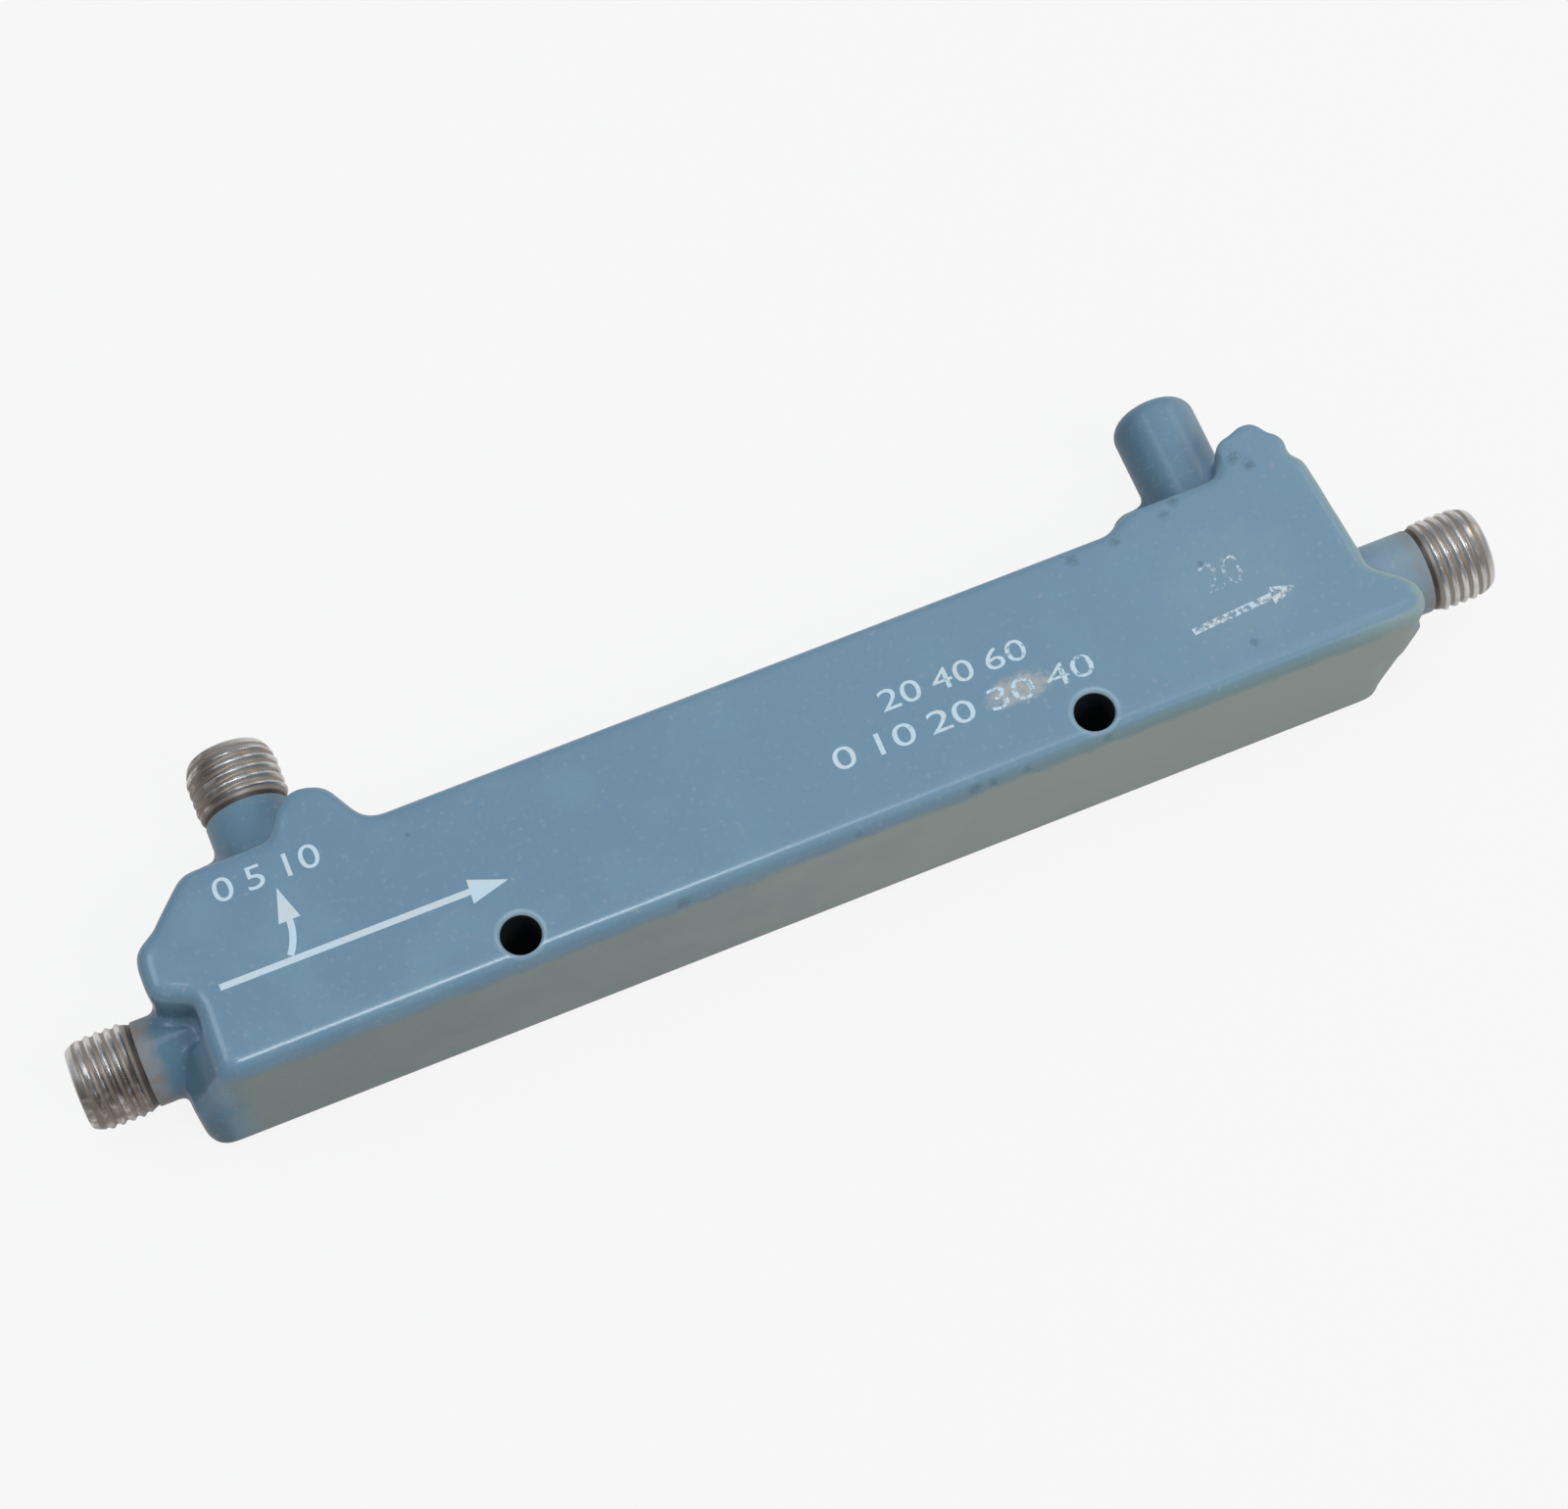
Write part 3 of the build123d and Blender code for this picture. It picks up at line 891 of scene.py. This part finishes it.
# Each mark: the function that draws it, and then the measures that it takes.
PRINTED_MARKS = [
    (flat_line, (-39.4, 0.65), (-22.2, 0.6), LINE_WIDTH),
    (flat_head, (-22.2, 0.6), (-19.6, 0.45), 1.75),
    (flat_bend, (-37.7, 3.3), 4.0, -35.5, 35.5, LINE_WIDTH),
    (flat_head, (-33.7, 3.3), (-33.75, 5.75), 1.5),
    (number_row, "0 5 10", (-37.7, 6.15), (-30.4, 7.85)),
    (number_row, "20 40 60", (7.4, 1.85), (17.8, 3.4)),
    (number_row, "0 10 20 30 40", (3.0, -0.9), (21.5, 0.7)),
    (flat_line, (28.5, -0.75), (34.3, -0.35), 0.5),
    (flat_head, (34.3, -0.35), (36.2, -0.2), 1.5),
    (number_row, "20", (30.6, 1.4), (33.4, 3.6)),
]
bm = bmesh.new()
for draw, *measures in PRINTED_MARKS:
    draw(bm, *measures)
bmesh.ops.recalc_face_normals(bm, faces=bm.faces)
marks = put_in_scene("printed_marks", bm)
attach(marks, "root")
print("printed marks", len(marks.data.polygons), "faces")

# %% [markdown]
# The enamel is one finish for the housing, the stub and the necks. Its blue is
# nearly even, a little lighter to the right. The front carries painted shade and a
# grey-green painted reflection of a warm bench, which stop short of the top rim.
# The ends, the back, the stub and the hole rims carry painted shade and painted
# highlights as well. Small dark bruises and chips sit where the photograph shows
# them, each a distance from one point, roughened by noise.

# %% Enamel colour
PAINT_LEFT = (0.127, 0.229, 0.323, 1.0)
PAINT_RIGHT = (0.146, 0.252, 0.345, 1.0)
PAINT_CLOUD = (0.145, 0.262, 0.340, 1.0)
# Painted shade for the sides that face away from the light.
SHADE_BLUE = (0.040, 0.110, 0.165, 1.0)
# Painted shade and a painted warm reflection on the front, darker and paler.
FRONT_SHADE_DARK = (0.182, 0.243, 0.238, 1.0)
FRONT_SHADE_PALE = (0.300, 0.360, 0.335, 1.0)
BRUISE = (0.050, 0.085, 0.110, 1.0)
GREENISH = (0.190, 0.290, 0.260, 1.0)
# Pale: worn paint round the arrow, and painted light on the right end and the stub side.
PALE_WEAR_AND_LIGHT = (0.235, 0.310, 0.355, 1.0)
SMEARED = (0.380, 0.385, 0.370, 1.0)
# A painted highlight on the rims of the mounting holes.
RIM_HIGHLIGHT_PALE = (0.270, 0.390, 0.470, 1.0)
# A pale painted highlight along the rounded rim at the right end.
PALE_RIM_HIGHLIGHT = (0.285, 0.375, 0.360, 1.0)
BAND_GREY = (0.22, 0.235, 0.245, 1.0)
BAND_BROWN = (0.23, 0.195, 0.17, 1.0)
# Painted shade inside the mounting holes.
HOLE_SHADE_BLACK = (0.008, 0.011, 0.014, 1.0)
FRONT_Y = housing_low[1] / MM

# Each mask fades from none at its first place to full at its second, in millimetres.
BLUE_LEAN = (-42.0, 40.0)
FRONT_FACE = (FRONT_Y + 0.55, FRONT_Y + 0.12)
FRONT_SHADE_TOP = (11.9, 10.9)
FRONT_SHADE_START = (-42.2, -39.5)
FRONT_SHADE_LIGHTENS = (-46.0, 30.0)
GREEN_FOOT = (10.6, 12.0)
GREEN_TOP = (12.9, 12.4)
GREEN_LEFT = (4.0, 24.0)
RIGHT_END = (42.6, 43.6)
RIM_TOP = (top_z - 0.04, top_z - 0.3)
RIM_FOOT = (10.5, 11.5)
RIM_LEFT = (36.0, 42.5)
SIDES_TOP = (11.3, 9.8)
LIT_RIGHT_END = (41.8, 42.8)
STUB_LEFT = (33.4, 31.2)
STUB_START = (25.0, 28.0)
DARK_END = (-41.6, -42.8)
DARK_FOOT = (6.5, 4.5)
DARK_BACK = (9.6, 10.6)
ARROW_SPOT = (32.5, 1.4, top_z)
ARROW_RUBBED = (8.5, 5.0)
SMEAR_X = 16.2
TOP_SKIN = (top_z - 1.0, top_z - 0.5)
# How much of its colour each mask lays on at most.
GREEN_SHARE = 0.6
LOBE_RIM_SHARE = 0.7
LIT_RIGHT_SHARE = 0.35
DARK_END_SHARE, DARK_FOOT_SHARE = 0.48, 0.3
DARK_BACK_SHARE, STUB_LEFT_SHARE = 0.2, 0.35
ARROW_SHARE = 0.22
SMEAR_SHARE = 0.8
BRUISE_SHARE = 0.5

# Bruises on the top as x, y and radius, and on the front edge as x and radius.
TOP_BRUISES = [
    (35.2, 10.6, 1.1),
    (36.3, 10.0, 1.2),
    (37.0, 9.1, 1.1),
    (33.6, 9.9, 0.9),
    (31.2, 8.6, 1.0),
    (30.2, 7.9, 0.9),
    (26.4, 7.3, 0.9),
    (23.2, 7.2, 1.1),
    (31.0, 3.6, 0.6),
    (31.9, -3.0, 0.8),
    (34.4, -0.6, 0.6),
    (-24.6, 5.9, 0.5),
]
EDGE_BRUISES = [(-9.6, 1.2), (2.7, 0.8), (10.9, 1.3), (12.2, 1.0), (14.6, 0.8), (20.4, 0.9)]
EDGE_BRUISE_DROP = 0.6


def worn_band(finish):
    """The grey and brown of a neck where handling took the paint's gloss off."""
    return blend(finish.noise(1.1, detail=5.0).rise(0.42, 0.62), BAND_GREY, BAND_BROWN)


def enamel_colour(finish):
    """The colour of the enamel at each point of a finish."""
    x, y, z = finish.x, finish.y, finish.z
    # The blue, lighter to the right and a little clouded.
    lean = (x + finish.sway(0.06, 30.0)).rise(*BLUE_LEAN)
    colour = blend(lean, PAINT_LEFT, PAINT_RIGHT)
    colour = blend(finish.noise(0.16, detail=4.0).rise(0.45, 0.75), colour, PAINT_CLOUD)
    # Painted shade and a grey-green painted reflection of a warm bench on the front,
    # darker on the left, that stop short of the top rim.
    front = y.rise(*FRONT_FACE)
    front_shade_edge = z + finish.sway(0.35, 1.6, detail=4.0)
    front_shade_and_reflection = front * front_shade_edge.rise(*FRONT_SHADE_TOP) * x.rise(*FRONT_SHADE_START)
    front_shade_tone = (x + finish.sway(0.2, 40.0, detail=4.0)).rise(*FRONT_SHADE_LIGHTENS)
    colour = blend(front_shade_and_reflection, colour, blend(front_shade_tone, FRONT_SHADE_DARK, FRONT_SHADE_PALE))
    # A greenish strip between the painted front shade and the rim, and a pale painted
    # highlight along the rim at the right end.
    green = front.at_least(x.rise(*RIGHT_END)) * front_shade_edge.rise(*GREEN_FOOT) * x.rise(*GREEN_LEFT)
    colour = blend(green * front_shade_edge.rise(*GREEN_TOP) * GREEN_SHARE, colour, GREENISH)
    right_rim_highlight = z.rise(*RIM_TOP) * z.rise(*RIM_FOOT) * x.rise(*RIM_LEFT)
    colour = blend(right_rim_highlight * LOBE_RIM_SHARE, colour, PALE_RIM_HIGHLIGHT)
    # The sides: painted light, pale, at the right end; painted shade, deep blue, at the
    # left end, on the stub's left and at the back.
    below_rim = z.rise(*SIDES_TOP)
    lit_right_end = x.rise(*LIT_RIGHT_END) * below_rim * (1.0 - front_shade_and_reflection)
    colour = blend(lit_right_end * LIT_RIGHT_SHARE, colour, PALE_WEAR_AND_LIGHT)
    stub_left_shade = x.rise(*STUB_LEFT) * x.rise(*STUB_START) * STUB_LEFT_SHARE
    left_end_shade = x.rise(*DARK_END) * (z.rise(*DARK_FOOT) * DARK_FOOT_SHARE + DARK_END_SHARE)
    side_shade = left_end_shade + y.rise(*DARK_BACK) * (stub_left_shade + DARK_BACK_SHARE)
    colour = blend(side_shade * below_rim, colour, SHADE_BLUE)
    # On the top: a rubbed patch round the worn arrow and a pale smear beside the numbers.
    near_arrow = (finish.away_from(ARROW_SPOT) + finish.noise(0.6) * 5.0).rise(*ARROW_RUBBED)
    colour = blend(near_arrow * ARROW_SHARE, colour, PALE_WEAR_AND_LIGHT)
    off_smear = x - SMEAR_X
    smear = (off_smear * off_smear * 0.16 + y * y * 0.8).rise(1.5, 0.0) * z.rise(*TOP_SKIN)
    smear = (smear * 0.5 + finish.noise(2.2, detail=4.0)).rise(0.55, 1.05)
    colour = blend(smear * SMEAR_SHARE, colour, SMEARED)
    # Small dark bruises on the top and along the front edge.
    spots = [((spot_x, spot_y, top_z), radius) for spot_x, spot_y, radius in TOP_BRUISES]
    edge_z = top_z - EDGE_BRUISE_DROP
    spots += [((spot_x, FRONT_Y, edge_z), radius) for spot_x, radius in EDGE_BRUISES]
    bruises = None
    for spot, radius in spots:
        near = finish.away_from(spot).rise(radius, 0.0)
        bruises = near if bruises is None else bruises.at_least(near)
    broken = finish.noise(3.4, detail=5.0, roughness=0.75, stretch=(0.6, 1.2, 1.0))
    ragged_bruises = (bruises * 0.55 + broken).rise(0.70, 1.15)
    return blend(ragged_bruises * BRUISE_SHARE, colour, BRUISE)


# %% Housing enamel
HOLE_INSIDE = (MOUNT_RADIUS + 0.09, MOUNT_RADIUS + 0.03)
HOLE_RIM = (MOUNT_RADIUS + 0.55, MOUNT_RADIUS + 0.25)
HOLE_RIM_HEIGHT = (top_z - 0.5, top_z - 0.2)
FAR_HIGHLIGHT_SIDE = (0.3, 1.8)
FAR_HIGHLIGHT_REACH = (3.0, 2.0)
LEFT_NECK_WORN = (6.2, 7.6)
DULL_FRONT_TOP = (12.3, 11.2)
LOW_LEFT_X = (-41.0, -42.5)
LOW_LEFT_Z = (10.0, 8.0)
GLOSS_FADES = (44.0, -6.0)
FULL_GLOSS, LEAST_GLOSS = 0.6, 0.35
LOST_ON_FRONT, LOST_LOW_LEFT = 0.7, 0.85
enamel = Finish(
    "enamel", Roughness=0.36, Coat_Weight=0.5, Coat_Roughness=0.15, Specular_IOR_Level=0.3
)
colour = enamel_colour(enamel)
# The mounting holes get painted shade, black, inside, and a painted highlight on
# their rim that is brightest on its far side.
from_hole = None
far_side_highlight = None
for hole_x, hole_y in MOUNT_SPOTS:
    off_x = enamel.x - hole_x
    off_y = enamel.y - hole_y
    away = (off_x * off_x + off_y * off_y) ** 0.5
    from_hole = away if from_hole is None else from_hole.at_most(away)
    beyond = (off_x + off_y).rise(*FAR_HIGHLIGHT_SIDE) * away.rise(*FAR_HIGHLIGHT_REACH)
    far_side_highlight = beyond if far_side_highlight is None else far_side_highlight.at_least(beyond)
in_hole = from_hole.rise(*HOLE_INSIDE)
rim_highlight = from_hole.rise(*HOLE_RIM) * enamel.z.rise(*HOLE_RIM_HEIGHT)
colour = blend(rim_highlight * (far_side_highlight * 0.45 + 0.5), colour, RIM_HIGHLIGHT_PALE)
left_neck = enamel.x * -1.0 - wall_x + enamel.sway(0.9, 1.2, detail=5.0)
colour = blend(left_neck.rise(*LEFT_NECK_WORN) * 0.9, colour, worn_band(enamel))
enamel.feed("Base Color", blend(in_hole, colour, HOLE_SHADE_BLACK))
# Gloss is strongest on the left, and weak in the holes, on the front face and low on the left end.
dull_front = enamel.y.rise(*FRONT_FACE) * enamel.z.rise(*DULL_FRONT_TOP)
low_left = enamel.x.rise(*LOW_LEFT_X) * enamel.z.rise(*LOW_LEFT_Z)
clean = (1.0 - in_hole) * (1.0 - dull_front * LOST_ON_FRONT)
gloss = clean * enamel.x.rise(*GLOSS_FADES).at_least(LEAST_GLOSS)
gloss = gloss * (1.0 - low_left * LOST_LOW_LEFT)
enamel.feed("Coat Weight", gloss * FULL_GLOSS)
enamel.feed("Roughness", in_hole * 0.6 + dull_front * 0.12 + 0.34 + enamel.noise(0.5) * 0.06)
enamel.bump(enamel.noise(0.7, detail=2.0), 0.08, 0.05)
for piece in (upper, lower):
    piece.data.materials.clear()
    piece.data.materials.append(enamel.material)

# %% Stub enamel
STUB_LIT_SIDE = (34.6, 36.6)
stub_paint = Finish(
    "stub_enamel", Roughness=0.40, Coat_Weight=0.22, Coat_Roughness=0.16, Specular_IOR_Level=0.3
)
# Painted light: the right side of the stub is painted paler, where light falls from the right.
lit_stub_side = stub_paint.x.rise(*STUB_LIT_SIDE) * 0.45
stub_paint.feed("Base Color", blend(lit_stub_side, enamel_colour(stub_paint), PALE_WEAR_AND_LIGHT))
stub_paint.bump(stub_paint.noise(0.9, detail=3.0), 0.12, 0.05)
stub.data.materials.append(stub_paint.material)

# %% [markdown]
# Each jack has three zones along its axis: enamel on the neck, a ragged grey band
# where handling took the gloss off, and bare steel. In the steel the roots are dark
# brown and the crests bright, which is read from the radius: partly grime and wear,
# partly painted shade and painted sheen. The side away from the light gets painted
# shade in brown patches: the front of the jack at the left end, and the left of
# the jack at the back. The groove before the thread gets painted shade, nearly black.

# %% Jack finish
STEEL_BRIGHT = (0.86, 0.84, 0.82, 1.0)
STEEL_DULL = (0.66, 0.64, 0.62, 1.0)
ROOT_GRIME_AND_SHADE = (0.34, 0.30, 0.26, 1.0)
BROWN_STAIN = (0.48, 0.36, 0.26, 1.0)
GROOVE_SHADE = (0.10, 0.088, 0.08, 1.0)
SHADE_BROWN = (0.24, 0.20, 0.165, 1.0)

# Masks on a jack, by length or radius: each fades from none to full, in millimetres.
PAINT_END = (NECK_END + 0.03, NECK_END - 0.05)
BAND_HALF = 0.6
CREST_FADE = (3.0, 3.09)
PILOT_FADE = (jack_length - 0.6, jack_length - 0.45)
SHADED_SIDE = (1.0, -1.8)
GROOVE_DEPTH = (2.97, 2.9)
GROOVE_END = (9.3, 8.8)


def jack_finish(name, along, side, band_start, band_strength, shade_share):
    """Enamel, worn band and steel for one jack, by length and offset to the side.

    The band has its start along the neck and a strength, and the last argument says
    how much painted shade, in brown patches, lies on the side with the lower offset.
    """
    steel = Finish(name, Specular_IOR_Level=0.3, Coat_Roughness=0.12)
    along = along(steel)
    side = side(steel)
    height = steel.z - seam_z
    radius = (side * side + height * height) ** 0.5
    ragged = steel.sway(0.9, 1.2, detail=5.0)
    painted = (along + ragged * 0.15).rise(*PAINT_END)
    band = (along + ragged).rise(band_start - BAND_HALF, band_start + BAND_HALF) * band_strength
    crest_wear_and_sheen = (radius + steel.sway(1.4, 0.06)).rise(*CREST_FADE)
    tone = steel.noise(0.8, detail=5.0).rise(0.38, 0.72)
    bare = blend(tone, STEEL_BRIGHT, STEEL_DULL)
    bare = blend(steel.noise(0.55, detail=4.0).rise(0.52, 0.74) * 0.45, bare, BROWN_STAIN)
    # Darker roots and brighter crests: grime and wear, partly painted shade and sheen.
    bare = blend(crest_wear_and_sheen, ROOT_GRIME_AND_SHADE, bare)
    pilot = along.rise(*PILOT_FADE)
    bare = blend(pilot, bare, STEEL_BRIGHT)
    # Painted shade in brown patches on the side away from the light.
    brown_shade = side.rise(*SHADED_SIDE) * steel.noise(0.7, detail=5.0, roughness=0.6).rise(0.3, 0.55)
    bare = blend(brown_shade * shade_share, bare, SHADE_BROWN)
    # Painted shade: the groove before the thread is painted nearly black.
    bare = blend(radius.rise(*GROOVE_DEPTH) * along.rise(*GROOVE_END), bare, GROOVE_SHADE)
    paint = blend(band, enamel_colour(steel), worn_band(steel))
    steel.feed("Base Color", blend(painted, bare, paint))
    steel.feed("Metallic", (1.0 - painted) * (crest_wear_and_sheen.at_least(pilot) * 0.35 + 0.65))
    steel.feed("Roughness", 0.27 + painted * 0.09 + (1.0 - crest_wear_and_sheen) * 0.12 + tone * 0.1)
    steel.feed("Coat Weight", painted * (1.0 - band) * 0.4)
    steel.bump(steel.noise(1.4, detail=2.0), 0.05, 0.04)
    return steel.material


finishes = [
    jack_finish(
        "input_finish",
        along=lambda finish: -1.0 * finish.x - wall_x,
        side=lambda finish: finish.y,
        band_start=6.9,
        band_strength=0.9,
        shade_share=0.95,
    ),
    jack_finish(
        "output_finish",
        along=lambda finish: finish.x - wall_x,
        side=lambda finish: finish.y,
        band_start=7.0,
        band_strength=0.6,
        shade_share=0.15,
    ),
    jack_finish(
        "coupled_finish",
        along=lambda finish: finish.y - wall_y,
        side=lambda finish: finish.x + side_x,
        band_start=7.7,
        band_strength=0.3,
        shade_share=0.95,
    ),
]
for jack, finish in zip(jacks, finishes):
    jack.data.materials.append(finish)

# %% [markdown]
# The print is a thin pale ink. It is nearly whole on the left, thinner in the
# middle and rubbed down to flecks on the right. Alpha leaves holes in the ink,
# with a noise whose threshold climbs from left to right.

# %% Ink
INK_PALE = (0.46, 0.60, 0.70, 1.0)
INK_WARM = (0.52, 0.58, 0.60, 1.0)
WEAR_LEAN = (0.0, 30.0)
WEAR_AT_SMEAR = (2.6, 1.2)
WORN_NUMBER_X = (27.0, 29.0)
WORN_NUMBER_Y = (0.9, 1.3)
FLECK_EDGE = (0.16, 0.36)
ink = Finish("ink", Roughness=0.5)
ink.feed("Base Color", blend(ink.noise(0.5).rise(0.45, 0.7), INK_PALE, INK_WARM))
at_smear = ink.away_from((SMEAR_X, 0.0, top_z)).rise(*WEAR_AT_SMEAR)
wear = ink.x.rise(*WEAR_LEAN) * 0.8 + at_smear * 0.25
wear = wear + ink.x.rise(*WORN_NUMBER_X) * ink.y.rise(*WORN_NUMBER_Y) * 0.35
flecks = ink.noise(2.6, detail=4.0, roughness=0.6)
ink.feed("Alpha", (flecks - wear * 0.26).rise(*FLECK_EDGE))
marks.data.materials.append(ink.material)

# %% [markdown]
# The inner pieces keep their CAD shapes. Each gets the finish of its stuff:
# white fluoropolymer, gold plate, etched copper, board, ceramic and plain steel.

# %% Finishes of the inner pieces


def two_tone(name, first, second, scale, metallic, roughness, stretch=None):
    """A finish of two near colours mixed by noise, with a fine bump."""
    made = Finish(name, Metallic=metallic)
    grain = made.noise(scale, detail=4.0, stretch=stretch)
    made.feed("Base Color", blend(grain.rise(0.35, 0.65), first, second))
    made.feed("Roughness", grain * 0.2 + roughness)
    made.bump(grain, 0.2, 0.03)
    return made.material


def dress(node_names, material):
    """Give a finish to CAD nodes."""
    for node_name in node_names:
        for holder in nodes[node_name].material_slots:
            holder.material = material


PORT_NAMES = ["input", "output", "coupled"]
polymer = two_tone("polymer", (0.80, 0.78, 0.72, 1), (0.72, 0.69, 0.62, 1), 1.2, 0.0, 0.45)
gold = two_tone("gold_plate", (0.83, 0.60, 0.25, 1), (0.66, 0.44, 0.17, 1), 2.0, 1.0, 0.22)
copper = two_tone("copper", (0.68, 0.34, 0.22, 1), (0.52, 0.24, 0.15, 1), 1.0, 1.0, 0.35)
board = two_tone(
    "board", (0.62, 0.53, 0.36, 1), (0.54, 0.45, 0.30, 1), 2.5, 0.0, 0.6, stretch=(1.0, 6.0, 1.0)
)
ceramic = two_tone("load_ceramic", (0.045, 0.04, 0.038, 1), (0.08, 0.07, 0.06, 1), 2.0, 0.0, 0.5)
plain_steel = two_tone("screw_steel", (0.50, 0.49, 0.47, 1), (0.34, 0.32, 0.29, 1), 1.5, 1.0, 0.3)
dress([port + "_insulator" for port in PORT_NAMES] + ["termination_bead"], polymer)
dress([port + "_contact" for port in PORT_NAMES] + ["termination_contact"], gold)
dress(["main_strip", "coupled_strip"], copper)
dress(["upper_board", "lower_board", "coupling_film"], board)
dress(["load_resistor"], ceramic)
dress(["assembly_screws"], plain_steel)
print("finishes on all pieces")
